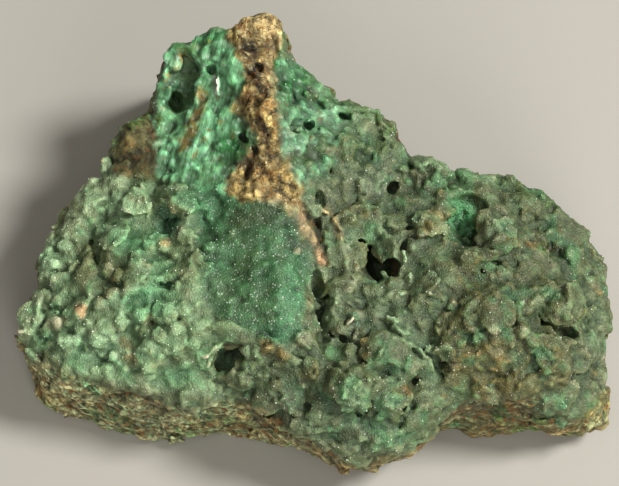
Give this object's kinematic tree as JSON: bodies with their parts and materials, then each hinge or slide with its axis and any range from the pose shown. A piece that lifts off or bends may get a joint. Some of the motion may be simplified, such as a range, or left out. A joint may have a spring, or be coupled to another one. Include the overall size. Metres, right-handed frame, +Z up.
{
  "type": "garnierite specimen",
  "caption": "Natural mineral hand specimen: a blocky slab of brown limonite matrix crusted with sparkling green botryoidal druse, with open vugs and a tan granular ridge.",
  "frame": {"origin": "middle of the specimen's bounding box in plan, at the height of the flat underside it rests on", "axes": "+X to the right along the longest extent, +Y from the low front edge towards the peak of the tan ridge, +Z up out of the green face"},
  "size_m": [0.1164, 0.0902, 0.0434],
  "materials": {
    "green_druse_rock": "dull waxy druse that sparkles in places"
  },
  "bodies": {
    "root": {"garnierite_specimen": "green_druse_rock"}
  },
  "joints": []
}
